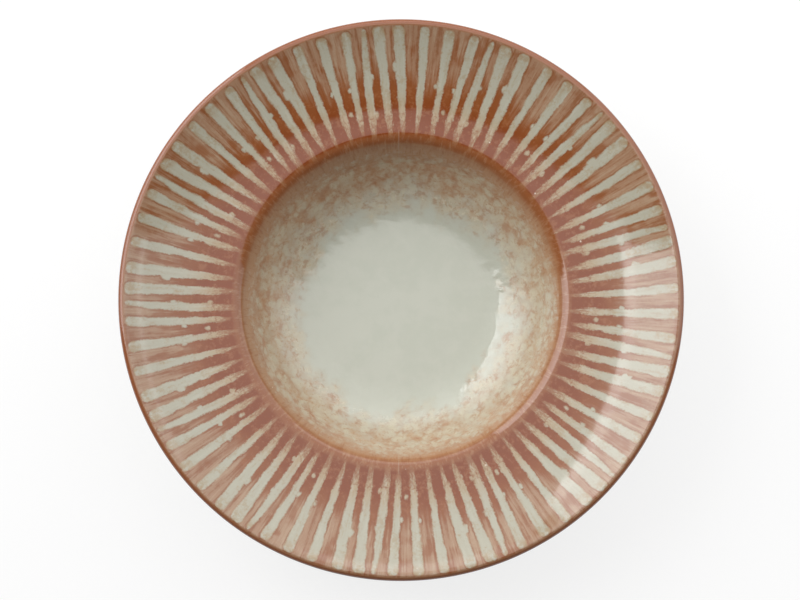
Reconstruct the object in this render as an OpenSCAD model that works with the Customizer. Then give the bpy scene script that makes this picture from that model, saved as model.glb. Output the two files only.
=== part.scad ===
// Pasta bowl: a wide, gently hollow rim around a deep round well, on a foot ring.
// It is one piece of fired stoneware, and each glaze coat on it is a solid of its own.
// Sizes are in millimetres and angles in degrees. The bowl stands on z = 0, round the z axis.
// Sizes are those of the glazed bowl, unless a comment says that they are of bare clay.

/* [Bowl] */
// Overall diameter, at the edge of the rim
bowl_d = 280; // [260:1:310]
// Thickness of the well's floor and wall
wall_t = 5.3; // [4.5:0.1:6.5]
// Thickness of the rim where its edge is rounded
edge_t = 5; // [4:0.1:6]

/* [Well] */
// Diameter of the well at the top, where the rim begins
well_d = 171; // [159:1:183]
// Depth of the floor below the start of the rim
well_depth = 32; // [28:1:40]
// Slope of the well's wall between the cove and the lip
wall_slope = 60; // [54:1:66]
// Radius of the cove that joins floor and wall
cove_r = 38; // [28:1:42]
// Radius that rounds the lip between wall and rim
lip_r = 8; // [6:0.5:10]
// Radius of the hollow on the underside, below the lip
under_lip_r = 11; // [8:0.5:15]

/* [Rim] */
// Slope of the rim beside the well
rim_slope_in = 4; // [2:1:8]
// Slope of the rim at its edge
rim_slope_out = 30; // [24:1:34]

/* [Foot ring] */
// Outer diameter of the ring at the bottom, bare clay
foot_d = 104; // [92:1:118]
// Width of the ring at the bottom, bare clay
foot_w = 5; // [4:0.25:8]
// Lean of the ring's two sides from upright
foot_draft = 10; // [5:1:15]
// Radius that rounds the ring's two bottom corners, bare clay
foot_round = 1.2; // [0.6:0.1:1.5]
// Radius of the fillet between the ring and the underside
foot_fillet = 3; // [2:0.25:5]
// Depth of the recess inside the ring
recess_depth = 3.5; // [3.2:0.1:5]
// Radius of the fillet around the recess
recess_fillet = 1.8; // [1:0.1:2]

/* [Glaze] */
// Thickness of a glaze coat
glaze_t = 0.4; // [0.25:0.05:0.6]
// Height to which the foot ring's sides are wiped bare of glaze
bare_h = 1.4; // [1.3:0.1:1.7]

/* [Hidden] */
$fn = 240;
// The outline's steps stay this close to its true arcs
outline_tol = 0.02;

// An outline is traced by the way its surface faces, in degrees:
// 0 is down, 90 outward, 180 up and 270 towards the axis.
function facing(way) = [sin(way), -cos(way)];

// Points on an arc round c while the surface turns from one way to another. A convex arc has a
// positive radius and a hollow one a negative radius. Its steps don't depend on depth, which
// puts the arc that far below the glazed surface, so two coats meet point for point.
function arc(c, r, from, to, depth) =
    let (steps = ceil(abs(to - from) / (2 * acos(1 - outline_tol / abs(r)))))
    [for (i = [0 : steps]) c + (r - depth) * facing(from + (to - from) * i / steps)];

// The points without the first, which the arc before has already placed
function onward(points) = [for (i = [1 : len(points) - 1]) points[i]];

function reversed(points) = [for (i = [len(points) - 1 : -1 : 0]) points[i]];

// Ways that the face looks: up from the floor, and across from the wall and the rim
up = 180;
wall_way = up + wall_slope;
rim_way_in = up + rim_slope_in;
rim_way_out = up + rim_slope_out;

// Well: the rim's inner end fixes the lip, the lip fixes the wall, and wall and floor fix the cove
floor_z = recess_depth + wall_t;
rim_start = [well_d / 2, floor_z + well_depth];
lip_c = rim_start - lip_r * facing(rim_way_in);
wall_top = lip_c + lip_r * facing(wall_way);
cove_top_z = floor_z + cove_r * (1 - cos(wall_slope));
wall_foot = [wall_top.x - (wall_top.y - cove_top_z) / tan(wall_slope), cove_top_z];
cove_c = wall_foot + cove_r * facing(wall_way);

// Rim: one arc that steepens from the well to the edge, where the rim is fully rounded
edge_r = edge_t / 2;
mean_slope = (rim_slope_in + rim_slope_out) / 2;
slope_gain = sin(rim_slope_out) - sin(rim_slope_in);
rim_end_x = bowl_d / 2 - edge_r + edge_r * facing(rim_way_out).x;
rim_end = [rim_end_x, rim_start.y + (rim_end_x - rim_start.x) * tan(mean_slope)];
rim_r = (rim_end.x - rim_start.x) / slope_gain;
rim_c = rim_end + rim_r * facing(rim_way_out);
edge_c = rim_end - edge_r * facing(rim_way_out);

// Underside: an arc below the rim that runs into the hollow below the lip, and that into the wall
under_end = edge_c + edge_r * facing(rim_slope_out);
wall_back = wall_top - wall_t * facing(wall_way);
hollow_run = under_lip_r * (facing(rim_slope_in) - facing(wall_slope));
under_run = (under_end + hollow_run - wall_back) * facing(wall_slope)
    / ([1, tan(mean_slope)] * facing(wall_slope));
under_start = under_end - under_run * [1, tan(mean_slope)];
under_r = under_run / slope_gain;
under_c = under_end - under_r * facing(rim_slope_out);
under_lip_c = under_start + under_lip_r * facing(rim_slope_in);
cove_back_r = cove_r + wall_t;

// Foot ring: two leaning sides, with a fillet where the outer one meets the back of the cove
foot_way = 90 - foot_draft;
foot_out = [foot_d / 2, 0];
foot_in = [foot_d / 2 - foot_w, 0];
foot_reach = foot_fillet + glaze_t - (cove_c - foot_out) * facing(foot_way);
foot_turn = asin(foot_reach / (cove_back_r + foot_fillet)) - foot_draft;
foot_fillet_c = cove_c + (cove_back_r + foot_fillet) * facing(foot_turn);
corner_inset = foot_round * (1 - sin(foot_draft)) / cos(foot_draft);
corner_out_c = foot_out + [-corner_inset, foot_round];
corner_in_c = foot_in + [corner_inset, foot_round];
recess_fillet_z = recess_depth - recess_fillet;
recess_lean = recess_fillet_z * sin(foot_draft);
recess_fillet_c = [
    foot_in.x - (recess_fillet + glaze_t + recess_lean) / cos(foot_draft),
    recess_fillet_z
];

// How far a leaning side of the ring has moved at the top of its bare band
bare_lean = bare_h * tan(foot_draft);
function side_coat(depth) = (glaze_t - depth) / cos(foot_draft);

// From the centre of the floor up the well and over the rim to the middle of the edge
function face_line(depth) = concat(
    [[0, floor_z - depth]],
    arc(cove_c, -cove_r, up, wall_way, depth),
    arc(lip_c, lip_r, wall_way, rim_way_in, depth),
    onward(arc(rim_c, -rim_r, rim_way_in, rim_way_out, depth)),
    onward(arc(edge_c, edge_r, rim_way_out, 90, depth))
);

// From the middle of the edge under the rim and down the wall to the ring's bare band
function back_line(depth) = concat(
    arc(edge_c, edge_r, 90, rim_slope_out, depth),
    onward(arc(under_c, under_r, rim_slope_out, rim_slope_in, depth)),
    onward(arc(under_lip_c, -under_lip_r, rim_slope_in, wall_slope, depth)),
    arc(cove_c, cove_back_r, wall_slope, foot_turn, depth),
    onward(arc(foot_fillet_c, -foot_fillet, foot_turn, foot_way, depth)),
    [[foot_out.x + bare_lean + side_coat(depth), bare_h]]
);

// The bare end of the ring that the bowl stands on
function stand_line() = concat(
    arc(corner_out_c, foot_round, foot_way, 0, 0),
    arc(corner_in_c, foot_round, 0, -foot_way, 0)
);

// From the ring's bare band up into the recess and across it to the axis
function recess_line(depth) = concat(
    [[foot_in.x - bare_lean - side_coat(depth), bare_h]],
    arc(recess_fillet_c, -recess_fillet, -foot_way, 0, depth),
    [[0, recess_depth + depth]]
);

module turned(outline) {
    rotate_extrude() polygon(outline);
}

// A coat lies between the glazed surface and the clay below it
module clay_body() {
    color("#b98f6b") turned(concat(
        face_line(glaze_t), onward(back_line(glaze_t)), stand_line(), recess_line(glaze_t)
    ));
}

module face_glaze() {
    color("#a9745a") turned(concat(face_line(0), reversed(face_line(glaze_t))));
}

module back_glaze() {
    color("#c9c8ba") turned(concat(back_line(0), reversed(back_line(glaze_t))));
}

module foot_glaze() {
    color("#c3c2b4") turned(concat(recess_line(0), reversed(recess_line(glaze_t))));
}

clay_body();
face_glaze();
back_glaze();
foot_glaze();
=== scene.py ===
# %% [markdown]
# # A pasta bowl with a brushed rim
# The bowl is one piece of stoneware under three coats of glaze, and the colours are in the coat
# that faces up: pale brushed rays on a rust brown rim, a rust band over the lip, and a mottled
# wall that fades into a pale floor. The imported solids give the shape. This file gives each coat
# its small unevenness and its colour, and lights it as in the photograph.

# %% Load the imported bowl
import math

import bmesh
import bpy
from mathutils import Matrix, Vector, noise


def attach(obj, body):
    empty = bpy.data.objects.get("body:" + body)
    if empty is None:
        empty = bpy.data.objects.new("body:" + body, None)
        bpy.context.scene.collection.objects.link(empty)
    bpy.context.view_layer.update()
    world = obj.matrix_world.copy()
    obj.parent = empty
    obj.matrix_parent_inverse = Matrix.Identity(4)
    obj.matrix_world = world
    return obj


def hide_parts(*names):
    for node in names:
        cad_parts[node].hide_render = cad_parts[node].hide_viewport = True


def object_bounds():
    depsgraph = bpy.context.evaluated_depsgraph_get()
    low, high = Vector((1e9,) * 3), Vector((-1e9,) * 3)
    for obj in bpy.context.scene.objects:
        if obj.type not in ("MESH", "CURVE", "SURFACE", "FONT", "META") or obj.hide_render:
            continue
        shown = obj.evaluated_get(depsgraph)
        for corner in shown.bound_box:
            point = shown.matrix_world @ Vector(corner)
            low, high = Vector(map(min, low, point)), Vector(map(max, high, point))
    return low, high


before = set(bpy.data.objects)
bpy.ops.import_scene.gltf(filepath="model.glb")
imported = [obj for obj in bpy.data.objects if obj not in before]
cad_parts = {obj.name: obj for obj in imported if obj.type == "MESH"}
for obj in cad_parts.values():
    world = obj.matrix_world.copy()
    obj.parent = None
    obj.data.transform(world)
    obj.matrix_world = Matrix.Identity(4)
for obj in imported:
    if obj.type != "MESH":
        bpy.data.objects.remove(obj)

MM = 0.001
cad_low, cad_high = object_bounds()
bowl_radius = cad_high.x
print("bowl", round(2 * bowl_radius / MM, 1), "mm wide and", round(cad_high.z / MM, 1), "mm high")

# %% [markdown]
# ## Camera
# The photograph looks down on the bowl from a little in front of it: its outline is an ellipse
# only slightly less high than wide. A long lens at about a metre keeps the perspective as flat as
# it is there, and the lens follows from how much of the picture the bowl fills.

# %% Camera
PHOTO_WIDE_PX = 800
BOWL_WIDE_PX = 566
VIEW_TILT = math.radians(6.615)
VIEW_DISTANCE = 1.1
AIM = Vector((-0.54 * MM, -1.95 * MM, 54 * MM))

scene = bpy.context.scene
camera_data = bpy.data.cameras.new("photo_camera")
bowl_share = BOWL_WIDE_PX / PHOTO_WIDE_PX
camera_data.lens = bowl_share * camera_data.sensor_width * VIEW_DISTANCE / (2 * bowl_radius)
camera = bpy.data.objects.new("photo_camera", camera_data)
camera.location = AIM + VIEW_DISTANCE * Vector((0, -math.sin(VIEW_TILT), math.cos(VIEW_TILT)))
camera.rotation_euler = (VIEW_TILT, 0, 0)
scene.collection.objects.link(camera)
scene.camera = camera
print("lens", round(camera_data.lens, 1), "mm")

# %% [markdown]
# ## Lamps
# The rim is a curved mirror, so the studio can be read from it. A tall soft light stands at the
# left: its image begins in a straight line across the right of the rim, and shows again on the lip
# and in the well, where the light's dimmer foot is mirrored. A panel over the far side leaves a
# milky veil on the brown, and dim walls stand beyond the bowl and at the right. No lamp stands at
# the near side, which keeps the far half of the rim clear and deep in colour. A lamp's power is
# worked out from the brightness of its face, because that is what a mirror image shows.

# %% Lamps
def panel(name, centre, facing, wide, high, brightness):
    """A lamp whose face has that brightness. Its place and size are in metres."""
    lamp = bpy.data.lights.new(name, "AREA")
    lamp.shape, lamp.size, lamp.size_y = "RECTANGLE", wide, high
    lamp.energy = brightness * math.pi * wide * high
    holder = bpy.data.objects.new(name, lamp)
    holder.location = centre
    holder.rotation_euler = (-Vector(facing)).to_track_quat("Z", "Y").to_euler()
    scene.collection.objects.link(holder)
    print(name, wide, "by", high, "m,", round(lamp.energy, 1), "W")


panel("tall_softbox", (-1.0, 0.85, 1.51), (1, 0, 0), wide=1.7, high=1.32, brightness=3.85)
panel("softbox_foot", (-1.0, 0.85, 0.59), (1, 0, 0), wide=1.7, high=0.52, brightness=2.8)
panel("far_overhead", (0.25, 0.895, 1.3), (0, 0, -1), wide=1.9, high=1.91, brightness=1.18)
panel("far_wall", (0.2, 1.9, 1.1), (0, -1, 0), wide=2.4, high=0.8, brightness=1.6)
panel("right_wall", (1.3, 0.8, 0.8), (-1, 0, 0), wide=1.8, high=1.4, brightness=1.15)

# %% [markdown]
# ## Sums in a net of nodes
# A material is a net of nodes, and so is the sky. It could be joined by hand, node by node, but a
# pattern is easier to read as the sum it is. So a node's output is a Wire here, and a sum on wires
# adds Math nodes.

# %% Wires
class Wire:
    """One output in a net. A sum with it is one more Math node."""

    def __init__(self, net, socket):
        self.net, self.socket = net, socket

    def math(self, operation, *others):
        return self.net.math(operation, self, *others)

    def __add__(self, other):
        return self.math("ADD", other)

    def __sub__(self, other):
        return self.math("SUBTRACT", other)

    def __mul__(self, other):
        return self.math("MULTIPLY", other)

    def __truediv__(self, other):
        return self.math("DIVIDE", other)

    def __rsub__(self, other):
        return self.net.math("SUBTRACT", other, self)

    def __rtruediv__(self, other):
        return self.net.math("DIVIDE", other, self)

    def __abs__(self):
        return self.math("ABSOLUTE")

    def __gt__(self, other):
        return self.math("GREATER_THAN", other)

    __radd__ = __add__
    __rmul__ = __mul__

    def at_least(self, other):
        return self.math("MAXIMUM", other)

    def at_most(self, other):
        return self.math("MINIMUM", other)

    def rises(self, low, high):
        """0 where the wire is below low and 1 above high, with a soft change between."""
        settings = {"interpolation_type": "SMOOTHSTEP"}
        return self.net.node("ShaderNodeMapRange", settings, {0: self, 1: low, 2: high})

    def falls(self, low, high):
        """1 where the wire is below low and 0 above high."""
        return 1 - self.rises(low, high)

    def swing(self, size):
        """A cloud's value, which lies around 0.5, as one around 0 with that size."""
        return (self - 0.5) * size


# %% [markdown]
# ## Nets
# Every node that isn't a sum comes from one method, which takes the node's type, its settings, and
# the values or wires of its sockets. The settings come first, because they decide which sockets a
# node has.

# %% Nets
class Net:
    """The nodes of a material or of the world, while they are put together."""

    def __init__(self, owner):
        self.owner = owner
        owner.use_nodes = True
        self.tree = owner.node_tree
        self.tree.nodes.clear()

    def node(self, kind, settings=(), inputs=(), output=0):
        """Makes a node and returns the wire of one output, by its name or number."""
        made = self.tree.nodes.new(kind)
        for name, value in dict(settings).items():
            setattr(made, name, value)
        for key, value in dict(inputs).items():
            if isinstance(value, Wire):
                self.tree.links.new(value.socket, made.inputs[key])
            else:
                made.inputs[key].default_value = value
        return Wire(self, made.outputs[output]) if made.outputs else None

    def math(self, operation, *values):
        return self.node("ShaderNodeMath", {"operation": operation}, enumerate(values))

    def ray(self, kind):
        """1 for a ray of that kind and 0 for others."""
        return self.node("ShaderNodeLightPath", output=f"Is {kind} Ray")


# %% [markdown]
# ## Sky
# The photograph is white from edge to edge, so the camera sees white behind the bowl from all
# sides. The bowl mirrors a dimmer white, and only from its far half, because in the photograph the
# near side of the rim mirrors nothing bright. As a light, the sky is dim: the lamps do the work.

# %% Sky
SKY = 0.13
MIRRORED_WHITE = 0.6
HALF_SOFTNESS = 0.05

world = bpy.data.worlds.new("studio")
scene.world = world
studio = Net(world)
toward = studio.node("ShaderNodeTexCoord", output="Generated")
toward_far = studio.node("ShaderNodeSeparateXYZ", (), {0: toward}, "Y")
far_side = {"From Min": -HALF_SOFTNESS, "From Max": HALF_SOFTNESS, "To Max": MIRRORED_WHITE}
far_half = studio.node("ShaderNodeMapRange", (), {"Value": toward_far, **far_side})
mirrored = studio.ray("Glossy").at_least(studio.ray("Transmission")) * far_half
white = studio.ray("Camera").at_least(mirrored)
strength = studio.node("ShaderNodeMapRange", (), {"Value": white, "To Min": SKY})
shine = studio.node("ShaderNodeBackground", (), {"Strength": strength})
studio.node("ShaderNodeOutputWorld", (), {"Surface": shine})
print("sky of", len(studio.tree.nodes), "nodes")

# %% [markdown]
# ## Finishes
# A finish is a material for one coat. Colours are mixed with a mask, clouds of soft noise make
# what a kiln and a brush make uneven, and the result ends in one Principled shader, which is what
# a game engine or another program can read.

# %% Finish and colour
DOT_HEART = 0.02


class Finish(Net):
    """A material that is being put together."""

    def __init__(self, name):
        super().__init__(bpy.data.materials.new(name))

    def vector(self, x, y, z):
        return self.node("ShaderNodeCombineXYZ", (), {0: x, 1: y, 2: z})

    def mix(self, share, first, second):
        """Two colours mixed, with that share of the second. A Mix node has its colours in sockets
        6 and 7 and gives the mixed one in output 2."""
        sockets = {0: share, 6: first, 7: second}
        return self.node("ShaderNodeMix", {"data_type": "RGBA"}, sockets, 2)

    def pick(self, share, first, second):
        """The same for two numbers, in sockets 2 and 3."""
        sockets = {0: share, 2: first, 3: second}
        return self.node("ShaderNodeMix", {"clamp_factor": False}, sockets)

    def cloud(self, place, scale=1.0, detail=2.0, roughness=0.5):
        """Soft noise around 0.5."""
        sockets = {"Vector": place, "Scale": scale, "Detail": detail, "Roughness": roughness}
        return self.node("ShaderNodeTexNoise", (), sockets)

    def dots(self, place, scale, size):
        """Small round spots, as large as the share of a cell that size says."""
        nearest = self.node("ShaderNodeTexVoronoi", (), {"Vector": place, "Scale": scale})
        return nearest.falls(DOT_HEART, size)

    def bumps(self, height, strength, distance):
        """A surface that is uneven by that height, for the light alone."""
        sockets = {"Strength": strength, "Distance": distance, "Height": height}
        return self.node("ShaderNodeBump", (), sockets)

    def surface(self, color, roughness, normal, **sockets):
        """Ends the finish in one Principled shader."""
        inputs = {"Base Color": color, "Roughness": roughness, "Normal": normal, **sockets}
        shader = self.node("ShaderNodeBsdfPrincipled", (), inputs)
        self.node("ShaderNodeOutputMaterial", (), {"Surface": shader})
        print(self.owner.name, "has", len(self.tree.nodes), "nodes")
        return self.owner


# %% [markdown]
# ## Colours as they look
# A picture editor gives a colour from 0 to 255 on a scale that suits the eye, while light adds up
# on another. Blender works on the second, so each colour is turned into it once, here.

# %% Colours from a picture editor
def srgb(red, green, blue):
    """A colour as a picture editor gives it, from 0 to 255, as Blender's linear numbers."""
    def linear(value):
        share = value / 255
        return share / 12.92 if share <= 0.04045 else ((share + 0.055) / 1.055) ** 2.4
    return (linear(red), linear(green), linear(blue), 1)


# %% [markdown]
# ## Where on the bowl
# The decoration follows the bowl's own circles, so it is drawn in millimetres from the axis and in
# turns about it. Both come from Object coordinates, so the paint stays on the bowl from every
# side.

# %% Polar places
TAU = 2 * math.pi
LEAST_RADIUS = 0.001


class Place:
    """Places on the bowl, in millimetres, for one finish."""

    def __init__(self, finish, shift=(0, 0, 0)):
        self.finish = finish
        metres = finish.node("ShaderNodeTexCoord", output="Object")
        sockets = {0: metres, 1: (1 / MM,) * 3, 2: [-value for value in shift]}
        self.point = finish.node("ShaderNodeVectorMath", {"operation": "MULTIPLY_ADD"}, sockets)
        self.x = finish.node("ShaderNodeSeparateXYZ", (), {0: self.point}, "X")
        self.y = finish.node("ShaderNodeSeparateXYZ", (), {0: self.point}, "Y")
        self.radius = (self.x * self.x + self.y * self.y).math("SQRT").at_least(LEAST_RADIUS)
        self.turn = self.x.math("ARCTAN2", self.y) / TAU

    def rays(self, around, along):
        """Points for a pattern drawn out along the rays, with no seam where a turn ends."""
        return self.finish.vector(
            self.x / self.radius * around, self.y / self.radius * around, self.radius * along
        )


# %% [markdown]
# ## The brushed rays
# Six brush strokes make a group, and thirteen groups fill the rim. In each group the strokes lean
# a little, stand at uneven distances and differ in width, as a loaded brush leaves them. A
# stroke's place is a share of its group, so for each point the nearest stroke is found once, and
# the distance in from its edge decides what colour shows. The strokes aren't modelled, because
# they melted into the glaze in the kiln and would hardly be felt.

# %% The strokes' sizes
GROUPS = 13
# Centre at the outer and the inner end, half width at the outer end, half way and at the inner
# end, all as shares of a group, and the radius in mm where the paint runs out
STROKES = (
    (0.181, 0.187, 0.041, 0.038, 0.030, 83.5),
    (0.373, 0.373, 0.044, 0.037, 0.036, 82.0),
    (0.568, 0.531, 0.042, 0.038, 0.034, 85.5),
    (0.707, 0.668, 0.021, 0.041, 0.046, 82.5),
    (0.820, 0.867, 0.047, 0.043, 0.038, 82.0),
    (0.975, 1.021, 0.045, 0.046, 0.034, 83.5),
)
# Beads and knots of paint: share of a group, then radius and size in mm
KNOTS = (
    (0.455, 97.8, 1.05),
    (0.331, 109.7, 1.0),
    (0.502, 109.2, 1.0),
    (0.950, 118.0, 1.9),
    (0.727, 114.0, 1.1),
    (0.726, 95.3, 1.2),
)
# In mm: where the strokes end at the rim's edge and at the well, and how round their ends are
STROKE_OUTER = 136.9
STROKE_INNER = 84.0
STROKE_CORNER = 2.2
# In mm: how far from its tip a stroke thins, and how far one stroke may end short of another
TIP_LENGTH = 11
END_SWING = 1.5
print(GROUPS * len(STROKES), "strokes and", GROUPS * len(KNOTS), "knots of paint")

# %% [markdown]
# ## Places in the print
# The whole print sits a little off the bowl's axis, as when a bowl isn't quite centred while it is
# brushed. The layers of colour share the same few clouds, so that where the glaze ran thin, it ran
# thin in all of them.

# %% Print places
PRINT_SHIFT = (0.2, -0.8, 0)


class PrintPlace(Place):
    """Places in the print, with the clouds that its layers share, the largest first."""

    def __init__(self, finish):
        super().__init__(finish, PRINT_SHIFT)
        self.group = self.turn * GROUPS
        self.blot = finish.cloud(self.point, 0.035, 2.0, 0.55)
        self.patch = finish.cloud(self.point, 0.12, 3.0, 0.6)
        self.mottle = finish.cloud(self.point, 0.32, 3.0, 0.65)
        self.grain = finish.cloud(self.point, 0.8, 2.0, 0.6)
        self.streak = finish.cloud(self.rays(56, 0.035), 1.0, 3.0, 0.65)


# %% [markdown]
# ## The nearest stroke
# A point's distance from a stroke's centre line is a share of a group, less its rounded value,
# which finds the copy that is nearest. The widest margin of the six wins, and with it the stroke's
# number and the radius of its tip.

# %% Find the nearest stroke
def nearest_stroke(f, at):
    """How far a point is inside the nearest stroke, as a share of a group, then that stroke's
    number and the radius of its tip, and how far the point is from its centre line."""
    reach = STROKE_OUTER - STROKE_INNER
    inward = ((STROKE_OUTER - at.radius) / reach).at_least(0).at_most(1)
    early, late = inward.rises(0, 0.5), inward.rises(0.45, 1)
    for number, (outer, inner, half, middle, last, end) in enumerate(STROKES):
        off = at.group - inward * (inner - outer) - outer
        off = off - off.math("ROUND")
        margin = early * (middle - half) + late * (last - middle) + half - abs(off)
        if number == 0:
            best, stroke, tip, side = margin, 0, end, off
            continue
        closer = margin > best
        best = margin.at_least(best)
        stroke = f.pick(closer, stroke, number)
        tip = f.pick(closer, tip, end)
        side = f.pick(closer, side, off)
    return inward, best, stroke, tip, side


# %% [markdown]
# ## The strokes' edges
# A brushed edge is never a line. It wanders slowly, it frays where the glaze boiled, and it thins
# where the brush was lifted. Each of these is a cloud of another size, added to the distance in
# from the edge. The outer end is rounded the way a corner is: by the distance from a circle's
# centre.

# %% Fray the edges
# Steps through the noise: from one stroke to the next, between a stroke's flanks, along it, from
# one stroke's end to the next, and the slice of noise that the flanks use
STROKE_STEP, FLANK_STEP, ALONG_STEP, END_STEP = 4.7, 1.3, 0.11, 3.7
FLANK_SLICE = 3.1
# How far an edge wanders, as a share of a group, and how far boiling moves it, in mm
WANDER = 0.03
BOIL = 1.6
# How ragged an edge is, in mm, at the rim's edge, and how much more so towards the well
RAGGED_OUT, RAGGED_IN = 0.8, 1.1
# How much a stroke thins at its tip, in mm, and how much that varies with the two clouds
THINS, RAG_THINS, BOIL_THINS = 0.5, 1.8, 0.3
# How uneven a knot of paint is, in mm, and the weight of its length, which draws it out
KNOT_UNEVEN, KNOT_RAG = 2.2, 0.6
KNOT_LONG = 0.5


def stroke_edges(f, at):
    """How far a point is inside a stroke or a knot, in mm, then the stroke's number and tip."""
    inward, best, stroke, tip, side = nearest_stroke(f, at)
    arc = at.radius * (TAU / GROUPS)
    flank = stroke * STROKE_STEP + side.math("SIGN") * FLANK_STEP
    line = f.vector(at.radius * ALONG_STEP, flank, FLANK_SLICE)
    wander = f.cloud(line, 1.0, 2.5, 0.6).swing(WANDER)
    boil = f.cloud(at.point, 0.16, 3.0, 0.65).swing(BOIL)
    rag = f.cloud(at.point, 1.0, 2.0, 0.6) - 0.5
    fringe = f.cloud(at.rays(95, 0.14), 1.0, 2.0, 0.6) - 0.5
    ragged = (rag + fringe) * (RAGGED_OUT + inward * RAGGED_IN)
    across = (best + wander) * arc + boil + ragged
    thin = (at.radius - tip).falls(0, TIP_LENGTH)
    across = across - thin * (THINS + rag * RAG_THINS + boil * BOIL_THINS)

    end = f.cloud(f.vector(stroke * END_STEP, 0, 0.5)).swing(END_SWING)
    past = (at.radius - STROKE_OUTER + STROKE_CORNER - end).at_least(0)
    over = (STROKE_CORNER - across).at_least(0)
    inside = across.at_most(STROKE_CORNER - (over * over + past * past).math("SQRT"))

    knobbly = f.cloud(at.point, 0.42, 2.0, 0.6).swing(KNOT_UNEVEN) + rag * KNOT_RAG
    for share, radius, size in KNOTS:
        off = at.group - share
        around = (off - off.math("ROUND")) * arc
        along = at.radius - radius
        knot = size - (around * around + along * along * KNOT_LONG).math("SQRT")
        inside = inside.at_least(knot + knobbly)
    return inside, stroke, tip


# %% [markdown]
# ## Colours and rings of the face
# The colours were chosen by comparing renders with the photograph, until the lit bowl looked
# alike. The rings are the radii, in mm, between which one colour gives way to the next.

# %% Colours and rings
PALE_FLOOR = srgb(190, 192, 178)
PALE_GREY = srgb(184, 187, 172)
WALL_TAN = srgb(184, 155, 124)
WALL_CREAM = srgb(198, 191, 167)
WALL_RUST = srgb(160, 104, 68)
LIP_RUST = srgb(146, 86, 48)
LIP_TAN = srgb(176, 133, 98)
DEEP_RUST = srgb(132, 62, 18)
RUST = srgb(142, 80, 40)
GROUND_TAN = srgb(166, 129, 101)
LOW_TAN = srgb(158, 100, 62)
STREAK_PALE = srgb(182, 158, 132)
STREAK_RUST = srgb(140, 86, 52)
STROKE_SAGE = srgb(181, 177, 159)
STROKE_LIGHT = srgb(194, 191, 174)
STROKE_WARM = srgb(180, 157, 126)
STROKE_STAIN = srgb(166, 140, 106)
STROKE_BROKEN = srgb(160, 112, 76)
EDGE_BROWN = srgb(156, 108, 76)
EDGE_DARK = srgb(144, 82, 48)
SPECK = srgb(226, 214, 196)

WALL_TAN_COMES = (47, 70)
WALL_LIP_TAN_COMES = (66, 80)
WALL_CREAM_COMES = (48, 58)
WALL_CREAM_GOES = (72, 78)
WALL_RUST_COMES = (48, 58)
WALL_FLECKS_COME = (50, 64)
LIP_BEGINS = (75.5, 78.5)
LIP_RUST_COMES = (77.7, 82.4)
LIP_ENDS = (83.5, 86)
DEEP_RUST_ENDS = (96, 108)
TIDE_LINE = 113.5
TIDE_SWING = 3.5
TIDE_WIDTH = (-6, 8)
EDGE_BEGINS = (136.9, 137.9)
EDGE_DARKENS = (137.2, 138.8)
print("linear colour of the floor", [round(share, 2) for share in PALE_FLOOR[:3]],
      "and of the edge", [round(share, 2) for share in EDGE_DARK[:3]])

# %% [markdown]
# ## The floor and the wall of the well
# The pale glaze pooled on the floor. Up the wall it ran thin, and the tan below shows through it,
# with cream left in islands and rust in flecks. How much of each shows depends on the height up
# the wall, shifted by large clouds so that no ring is seen. The tan also reaches further down on
# the far side, which is painted shade, and starts higher on the right, which is painted light.
# Cells bent by noise make the islands, and the lines between the cells carry more of the tan.

# %% Floor and wall
CELL_SCALE = 0.19
CELL_BEND = 9


def islands(f, at):
    """Where the cream islands lie, and where the lines between them run."""
    noisy = {"Vector": at.point, "Scale": 0.17, "Detail": 2.0}
    drift = f.node("ShaderNodeTexNoise", (), noisy, "Color")
    bend = {0: drift, 1: (CELL_BEND,) * 3, 2: at.point}
    bent = f.node("ShaderNodeVectorMath", {"operation": "MULTIPLY_ADD"}, bend)
    cells = {"Vector": bent, "Scale": CELL_SCALE}
    middle = f.node("ShaderNodeTexVoronoi", {"feature": "SMOOTH_F1"}, cells)
    border = f.node("ShaderNodeTexVoronoi", {"feature": "DISTANCE_TO_EDGE"}, cells)
    heart = (middle + at.grain.swing(0.5) + at.mottle.swing(0.4)).falls(0.2, 0.62)
    line = (border + at.grain.swing(0.5) + at.mottle.swing(0.3)).falls(0.0, 0.3)
    return heart, line


def wall_colors(f, at):
    """Floor and wall up to the lip."""
    heart, line = islands(f, at)
    floor = f.mix((at.patch + at.blot).rises(0.8, 1.25) * 0.7, PALE_FLOOR, PALE_GREY)
    height = at.radius + at.blot.swing(26) + at.patch.swing(24)
    # Painted shade: more tan on the far side of the wall. Painted light: less tan on its right side.
    height = height + at.y * 0.03 - at.x.at_least(0) * 0.08
    spread = (at.mottle + at.grain.swing(0.5)).rises(0.34, 0.64)
    tan = height.rises(*WALL_TAN_COMES) * (0.52 + spread * 0.28 + line * 0.2)
    color = f.mix(tan, floor, WALL_TAN)
    # Painted shade: the lip's tan comes further down the wall on the far side.
    upper = (height + at.y.at_least(0) * 0.07).rises(*WALL_LIP_TAN_COMES)
    color = f.mix(upper * (0.45 + spread * 0.35 + line * 0.2), color, LIP_TAN)
    below_lip = (at.radius + at.mottle.swing(8)).falls(*WALL_CREAM_GOES)
    cream = heart * height.rises(*WALL_CREAM_COMES) * below_lip
    color = f.mix(cream * (0.35 + spread * 0.5), color, WALL_CREAM)
    ring = f.cloud(at.rays(9, 0.3), 1.0, 3.0, 0.6)
    rust = height.rises(*WALL_RUST_COMES) * (ring + line.swing(0.15)).rises(0.52, 0.74)
    flecks = (at.grain + at.mottle.swing(0.5)).rises(0.56, 0.72) * height.rises(*WALL_FLECKS_COME)
    return f.mix((rust * 0.42 + flecks * 0.34).at_most(1), color, WALL_RUST)


# %% [markdown]
# ## The ground of the rim and the lip
# The brown under the strokes is deep and even near the well. From a tide line outward it is tan
# with pale and rusty streaks along the rays, and the tide line rises and falls once in each group.
# Over the lip, the brown glaze broke to tan where it ran off the edge.

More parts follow.
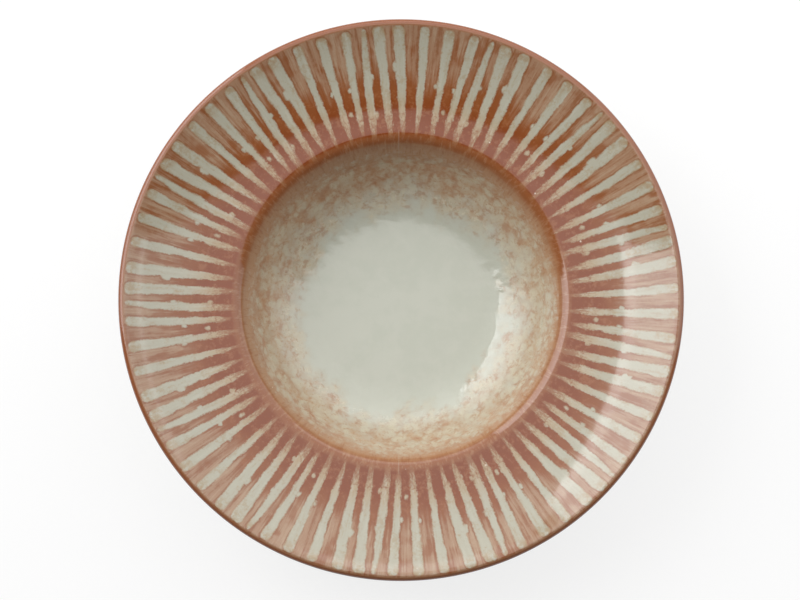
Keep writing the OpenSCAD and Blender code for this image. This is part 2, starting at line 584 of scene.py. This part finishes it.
# %% Ground and lip
def ground_colors(f, at, broad):
    """The rim between the strokes."""
    patch = f.cloud(at.point, 0.16, 2.0, 0.5)
    spots = f.cloud(at.point, 0.55, 3.0, 0.7)
    low = f.mix((at.radius + patch.swing(10)).rises(*DEEP_RUST_ENDS), DEEP_RUST, RUST)
    low = f.mix((spots + patch.swing(0.6)).rises(0.5, 0.7) * 0.6, low, LOW_TAN)
    pale = (at.streak + spots.swing(0.3)).rises(0.5, 0.72)
    high = f.mix(pale * 0.6, GROUND_TAN, STREAK_PALE)
    rusty = (1 - at.streak + spots.swing(0.3)).rises(0.46, 0.68)
    high = f.mix(rusty * 0.75, high, STREAK_RUST)
    wash = f.cloud(at.point, 0.075, 2.0, 0.6) - at.streak.swing(0.5)
    high = f.mix(wash.rises(0.5, 0.66) * 0.65, high, RUST)
    tide = TIDE_LINE + ((at.group - 0.8) * TAU).math("COSINE") * TIDE_SWING
    above = at.radius - tide + broad.swing(12) + at.grain.swing(4) + at.streak.swing(16)
    return f.mix(above.rises(*TIDE_WIDTH), low, high)


def rim_colors(f, at):
    """The rim between the strokes, and the lip inside it."""
    broad = f.cloud(at.rays(20, 0.06))
    rim = ground_colors(f, at, broad)
    lines = f.cloud(at.rays(5, 1.1), 1.0, 2.0, 0.6)
    drop = at.radius + lines.swing(1.6) + broad.swing(2.5)
    hair = f.cloud(at.rays(60, 0.3), 1.0, 3.0, 0.65)
    lip = f.mix(drop.rises(*LIP_RUST_COMES), LIP_TAN, LIP_RUST)
    lip = f.mix(hair.rises(0.5, 0.68) * 0.4, lip, LIP_RUST)
    lip = f.mix((1 - hair).rises(0.5, 0.66) * 0.45, lip, LIP_TAN)
    return f.mix(drop.falls(*LIP_ENDS), rim, lip)


# %% [markdown]
# ## The paint of the strokes
# Each stroke is pale sage glaze with a thin rust outline, where the ground drew back from it.
# Inside it the brush left streaks, the edges and the outer end are stained, and a fine crack
# crosses it. Every one of these is a colour laid over the last with a mask.

# %% Outline and paint
OUTLINE_COMES = (85, 92)
OUTLINE_LIGHTENS = (103, 117)
SAGE_COMES = (91, 112)
END_STAIN_COMES = (129, 136)
STAIN_SHARE = 0.45
CRACK_RADIUS = 94


def outlined(f, at, color, inside, uneven):
    """The ground with the strokes' thin rust outline."""
    halo = inside.rises(-1.1, -0.15) * at.radius.rises(*OUTLINE_COMES) * (0.08 + uneven * 0.77)
    outline = f.mix(at.radius.rises(*OUTLINE_LIGHTENS), DEEP_RUST, STREAK_RUST)
    return f.mix(halo, color, outline)


def stroke_paint(f, bowl, at, inside, stroke, uneven):
    """A stroke's own colours."""
    paint = f.mix(at.radius.rises(*SAGE_COMES), STROKE_WARM, STROKE_SAGE)
    border = inside.falls(0.1, 0.9) * 0.6 + at.radius.rises(*END_STAIN_COMES) * 0.8
    paint = f.mix((border * at.mottle.rises(0.35, 0.6)).at_most(1), paint, STROKE_STAIN)
    cloudy = f.cloud(bowl.point, 0.13, 3.0, 0.6) + at.grain.swing(0.4)
    paint = f.mix(cloudy.rises(0.52, 0.72) * STAIN_SHARE, paint, STROKE_STAIN)
    drawn = f.cloud(at.rays(55, 0.06), 1.0, 4.0, 0.7) + at.grain.swing(0.3)
    paint = f.mix(drawn.rises(0.52, 0.74) * STAIN_SHARE, paint, STROKE_STAIN)
    paint = f.mix((1 - drawn).rises(0.5, 0.72) * 0.5, paint, STROKE_LIGHT)
    own = f.cloud(f.vector(stroke * 2.3, 0.5, 0.5))
    crack = abs(at.radius - CRACK_RADIUS - own.swing(9) - at.mottle.swing(5)).falls(0.1, 0.5)
    return f.mix(crack * uneven * 0.6, paint, RUST)


# %% [markdown]
# ## Worn paint
# Towards the well a stroke wears through to the rust, and it breaks up before it reaches the lip,
# because the brush had little paint left. A fine cloud drawn out along the ray decides where.

# %% Worn paint and the whole stroke
WORN_FROM, WORN_LENGTH = 100, 16
TIP_BREAKS_OVER = 6


def worn_paint(f, at, paint, left):
    """The paint where it wears through, and where it breaks up because little of it is left."""
    worn = ((WORN_FROM - at.radius) / WORN_LENGTH).at_least(0).at_most(1)
    bare = f.cloud(at.rays(120, 0.5), 1.0, 3.0, 0.75) + at.mottle.swing(0.4) + worn * 0.3
    paint = f.mix(bare.rises(0.53, 0.77) * worn.math("SQRT") * 0.9, paint, RUST)
    whole = (left + at.grain.swing(1.8) + at.mottle.swing(1.2)).rises(0.1, 0.7)
    return f.mix(1 - whole, paint, STROKE_BROKEN)


def painted(f, bowl, at, color):
    """The strokes laid over the ground, and how far the paint covers it."""
    inside, stroke, tip = stroke_edges(f, at)
    uneven = f.cloud(at.rays(26, 0.09), 1.0, 3.0, 0.65).rises(0.4, 0.6)
    color = outlined(f, at, color, inside, uneven)
    left = (at.radius - tip) / TIP_BREAKS_OVER
    paint = worn_paint(f, at, stroke_paint(f, bowl, at, inside, stroke, uneven), left)
    cover = inside.rises(-0.35, 0.55) * (left + at.grain.swing(0.8)).rises(-0.1, 0.45)
    return f.mix(cover, color, paint), cover


# %% [markdown]
# ## The edge, the pale specks and the pale line
# Glaze runs thin over a sharp edge and shows the brown below it. Small pale specks lie on the lip
# and near the edge. A faint pale line crosses the lip on the far and on the near side.

# %% Edge and small marks
LIP_SPECKS_COME, LIP_SPECKS_GO = (74, 77), (94, 100)
EDGE_SPECKS_COME = (130, 133)
PALE_LINE_X = -1.2
PALE_LINE_COMES, PALE_LINE_GOES = (66, 70), (85, 88)


def marked(f, bowl, at, color):
    """The face with its edge, pale specks and pale line."""
    edge = (at.radius + at.streak.swing(1.6)).rises(*EDGE_BEGINS)
    color = f.mix(edge, color, f.mix(at.radius.rises(*EDGE_DARKENS), EDGE_BROWN, EDGE_DARK))
    pale_specks = f.dots(bowl.point, 0.075, 0.045)
    lip = bowl.radius.rises(*LIP_SPECKS_COME) * bowl.radius.falls(*LIP_SPECKS_GO)
    color = f.mix(pale_specks * (lip + bowl.radius.rises(*EDGE_SPECKS_COME)) * 0.8, color, SPECK)
    # A faint pale line on the far and the near side of the lip.
    seam = abs(bowl.x - PALE_LINE_X).falls(0.15, 0.5)
    seam = seam * at.radius.rises(*PALE_LINE_COMES) * at.radius.falls(*PALE_LINE_GOES)
    return f.mix(seam * 0.3, color, STREAK_PALE)


# %% [markdown]
# ## The gloss of the face
# The glaze is glossy all over. Where the wall turns into the floor, the photograph's highlight is
# soft and broken up, so the glaze is a little rougher and more rippled there. The ripples are too
# low to change the outline, so a Bump node makes them, and paint stands a little proud of the
# ground.

# %% Gloss
GLAZE_IOR = 1.6
GLOSSY, GRAIN_ADDS, COVE_ADDS = 0.06, 0.05, 0.22
COVE_COMES, COVE_GOES = (38, 46), (70, 79)
ROUGHER_COMES = (52, 61)
# How much stronger the ripples are in the cove, and how far the paint stands proud of the ground,
# as a share of a ripple's height
COVE_RIPPLES = 5
PAINT_PROUD = 0.25
RIPPLE_HIGH = 0.12 * MM
RIPPLE_STRENGTH = 0.25


def face_gloss(f, bowl, at, cover):
    """Roughness and normal of the face."""
    cove = bowl.radius.rises(*COVE_COMES) * bowl.radius.falls(*COVE_GOES)
    rougher = (bowl.radius + at.mottle.swing(16)).rises(*ROUGHER_COMES) * cove
    roughness = GLOSSY + at.grain * GRAIN_ADDS + rougher * COVE_ADDS
    ripple = f.cloud(bowl.point, 0.22, 3.0, 0.5) * (1 + cove * COVE_RIPPLES)
    return roughness, f.bumps(ripple + cover * PAINT_PROUD, RIPPLE_STRENGTH, RIPPLE_HIGH)


# %% [markdown]
# ## The whole face
# The layers are laid in the order of the real work: glaze on the well, brown on the rim down to a
# ragged border with short drips, then the strokes, and last what the kiln did.

# %% The whole face
def face_finish():
    f = Finish("face_glaze_finish")
    bowl, at = Place(f), PrintPlace(f)
    drips = f.cloud(at.rays(60, 0.12), 1.0, 2.0, 0.6)
    # Painted light: on the right side the wall's colours reach a little further out, under the
    # lamp's highlight on the lip.
    border = at.radius + drips.swing(3.5) + at.mottle.swing(7) - at.x.at_least(0) * 0.01
    color = f.mix(border.rises(*LIP_BEGINS), wall_colors(f, at), rim_colors(f, at))
    color, cover = painted(f, bowl, at, color)
    color = marked(f, bowl, at, color)
    roughness, normal = face_gloss(f, bowl, at, cover)
    return f.surface(color, roughness, normal, IOR=GLAZE_IOR)


# %% [markdown]
# ## The plain glaze and the clay
# The underside has the same pale glaze with nothing brushed on it, and only the brown of the edge
# runs a little way under the rim. The ring that the bowl stands on is bare clay, matt and grainy.
# Glaze there would stick to the kiln shelf.

# %% Finishes of the underside
BACK_PALE = srgb(188, 189, 175)
BACK_SAGE = srgb(180, 177, 160)
BACK_SPECK = srgb(120, 92, 70)
BACK_EDGE_COMES = (133.5, 137.5)
BACK_RIPPLE_HIGH = 0.15 * MM
CLAY_BUFF = srgb(170, 132, 98)
CLAY_PALE = srgb(206, 172, 136)
CLAY_DARK = srgb(150, 108, 78)
CLAY_GRAIN_HIGH = 0.1 * MM


def back_finish():
    f = Finish("back_glaze_finish")
    at = Place(f)
    grain = f.cloud(at.point, 0.5, 3.0, 0.6)
    blot = f.cloud(at.point, 0.04, 3.0, 0.5)
    streak = f.cloud(at.rays(60, 0.05), 1.0, 3.0, 0.6)
    color = f.mix(blot.rises(0.35, 0.7) * 0.5, BACK_PALE, BACK_SAGE)
    edge = (at.radius + streak.swing(3) + blot.swing(4)).rises(*BACK_EDGE_COMES)
    color = f.mix(edge, color, f.mix(streak.rises(0.4, 0.65) * 0.5, EDGE_DARK, EDGE_BROWN))
    color = f.mix(f.dots(at.point, 0.09, 0.05) * 0.6, color, BACK_SPECK)
    normal = f.bumps(f.cloud(at.point, 0.16, 3.0, 0.5), 0.3, BACK_RIPPLE_HIGH)
    return f.surface(color, 0.12 + grain * 0.08, normal, IOR=GLAZE_IOR)


def clay_finish():
    f = Finish("clay_finish")
    at = Place(f)
    grain = f.cloud(at.point, 1.6, 4.0, 0.7)
    blot = f.cloud(at.point, 0.12, 2.0, 0.5)
    color = f.mix(grain.rises(0.3, 0.7), CLAY_BUFF, CLAY_PALE)
    color = f.mix(blot.rises(0.4, 0.75) * 0.4, color, CLAY_DARK)
    return f.surface(color, 0.72 + grain * 0.2, f.bumps(grain, 0.6, CLAY_GRAIN_HIGH))


# %% [markdown]
# ## The coats as meshes
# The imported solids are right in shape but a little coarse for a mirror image, and truer than a
# fired pot. So each coat that shows is turned again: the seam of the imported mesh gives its
# outline, spin turns it about the axis, and one round of subdivision makes it smooth.

# %% Turn a coat from its outline
WELD = 0.001 * MM
TURN_STEPS = 180
FLAT_CUTS = 7


def outline_of(node):
    """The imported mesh's own outline: the points and edges that lie on its seam."""
    bm = bmesh.new()
    bm.from_mesh(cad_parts[node].data)
    bmesh.ops.remove_doubles(bm, verts=bm.verts, dist=WELD)
    off_seam = [v for v in bm.verts if abs(v.co.y) > WELD or v.co.x < -WELD]
    bmesh.ops.delete(bm, geom=off_seam, context="VERTS")
    loose_ends = [v for v in bm.verts if len(v.link_edges) == 1]
    on_axis = bmesh.ops.extrude_vert_indiv(bm, verts=loose_ends)
    for v in on_axis["verts"]:
        v.co.x = 0
    if on_axis["edges"]:
        bmesh.ops.subdivide_edges(bm, edges=on_axis["edges"], cuts=FLAT_CUTS)
    return bm


def turned_coat(name, node):
    """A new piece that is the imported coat, turned finer."""
    bm = outline_of(node)
    points = len(bm.verts)
    bmesh.ops.spin(
        bm, geom=bm.verts[:] + bm.edges[:], cent=(0, 0, 0), axis=(0, 0, 1),
        angle=TAU, steps=TURN_STEPS, use_merge=True,
    )
    bmesh.ops.remove_doubles(bm, verts=bm.verts, dist=WELD)
    bmesh.ops.recalc_face_normals(bm, faces=bm.faces)
    mesh = bpy.data.meshes.new(name)
    bm.to_mesh(mesh)
    bm.free()
    piece = bpy.data.objects.new(name, mesh)
    scene.collection.objects.link(piece)
    smooth = piece.modifiers.new("smooth", "SUBSURF")
    smooth.levels = smooth.render_levels = 1
    shown = piece.evaluated_get(bpy.context.evaluated_depsgraph_get())
    piece.data = bpy.data.meshes.new_from_object(shown)
    piece.modifiers.clear()
    piece.data.shade_smooth()
    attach(piece, "root")
    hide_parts(node)
    print(name, "turned from", points, "points,", len(piece.data.polygons), "faces")
    return piece


# %% [markdown]
# ## The unevenness of a fired pot
# A rim sags a little unevenly in the kiln, and the thick glaze on the wall lies in low lumps. Both
# coats sag by the same amount at the same place, so they still meet at the edge. A coat is 0.4 mm
# thick and sags by less than that, so the clay, whose mesh stays as it is packed, stays covered.

# %% Uneven coats
RIM_SAG = 0.3 * MM
SAG_SCALE = 9
SAG_COMES = (90 * MM, 140 * MM)
LUMP_HIGH = 0.11 * MM
LUMP_SCALE = 190
LUMPS_COME, LUMPS_GO = (36 * MM, 50 * MM), (74 * MM, 80 * MM)
# How fast the lumps' finer layers fade, how much finer each is, and how many layers there are
LUMP_LAYERS = (0.9, 2.0, 2)
# A point whose normal has less than this upright share looks sideways, and isn't raised
SIDEWAYS = 0.02


def between(value, low, high):
    """0 below low and 1 above high, as Wire.rises gives it in a net."""
    share = min(1, max(0, (value - low) / (high - low)))
    return share * share * (3 - 2 * share)


def sag(point):
    """How far the rim hangs below true at a place."""
    radius = math.hypot(point.x, point.y)
    wave = 0.5 + 0.5 * noise.noise(Vector((point.x, point.y, 0.1)) * SAG_SCALE)
    return RIM_SAG * wave * between(radius, *SAG_COMES)


def lumps(point):
    """How high the glaze stands in its lumps on the wall."""
    radius = math.hypot(point.x, point.y)
    share = between(radius, *LUMPS_COME) * (1 - between(radius, *LUMPS_GO))
    return LUMP_HIGH * share * noise.fractal(point * LUMP_SCALE, *LUMP_LAYERS)


def make_uneven(piece, up, height=lambda point: 0):
    """Lets the piece sag, and raises the side that shows, which faces up or down as up says."""
    mesh = piece.data
    moves = []
    for v in mesh.vertices:
        rise = height(v.co) if v.normal.z * up > SIDEWAYS else 0
        moves.append(v.normal * rise - Vector((0, 0, sag(v.co))))
    for v, move in zip(mesh.vertices, moves):
        v.co += move
    print(piece.name, "moved by up to", round(max(m.length for m in moves) / MM, 2), "mm")


# %% [markdown]
# ## The four pieces
# The face and the back are turned again, made uneven and given their finish. The glazed disc
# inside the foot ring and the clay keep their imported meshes, because nobody sees a mirror image
# there, and only their materials change. The disc has the back's glaze, as on the real bowl.

# %% Face, back, foot and clay
def dressed(piece, finish):
    """The piece with that finish alone, filed under its slot."""
    piece.data.materials.clear()
    piece.data.materials.append(finish)


face = turned_coat("face_coat", "face_glaze")
make_uneven(face, 1, lumps)
dressed(face, face_finish())

back = turned_coat("back_coat", "back_glaze")
make_uneven(back, -1)
dressed(back, back_finish())

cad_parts["foot_glaze"].material_slots[0].material = back.data.materials[0]
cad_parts["clay_body"].material_slots[0].material = clay_finish()

# %% [markdown]
# ## The floor
# A plain white floor. The camera and mirror images see it mostly as bright as the white sky, with
# no line where the two meet, and partly lit like any surface, so the bowl's shadow stays on it.

# %% Floor
FLOOR_SIZE = 6.0
FLOOR_GLOW = 1.06
GLOW_SHARE = 0.75


def floor_finish():
    f = Finish("floor_finish")
    seen = f.ray("Camera").at_least(f.ray("Glossy")).at_least(f.ray("Transmission"))
    lit = f.node("ShaderNodeBsdfDiffuse", (), {"Color": srgb(240, 240, 240)})
    glow = f.node("ShaderNodeEmission", (), {"Strength": FLOOR_GLOW})
    mixed = f.node("ShaderNodeMixShader", (), {0: seen * GLOW_SHARE, 1: lit, 2: glow})
    f.node("ShaderNodeOutputMaterial", (), {"Surface": mixed})
    return f.owner


bm = bmesh.new()
bmesh.ops.create_grid(bm, size=FLOOR_SIZE / 2)
floor_mesh = bpy.data.meshes.new("floor")
bm.to_mesh(floor_mesh)
bm.free()
floor = bpy.data.objects.new("floor", floor_mesh)
floor_mesh.materials.append(floor_finish())
scene.collection.objects.link(floor)
print("floor", FLOOR_SIZE, "m wide")

# %% [markdown]
# ## Colour management
# Standard shows a colour as it was written.

# %% Standard colours
scene.view_settings.view_transform = "Standard"
bpy.context.view_layer.update()
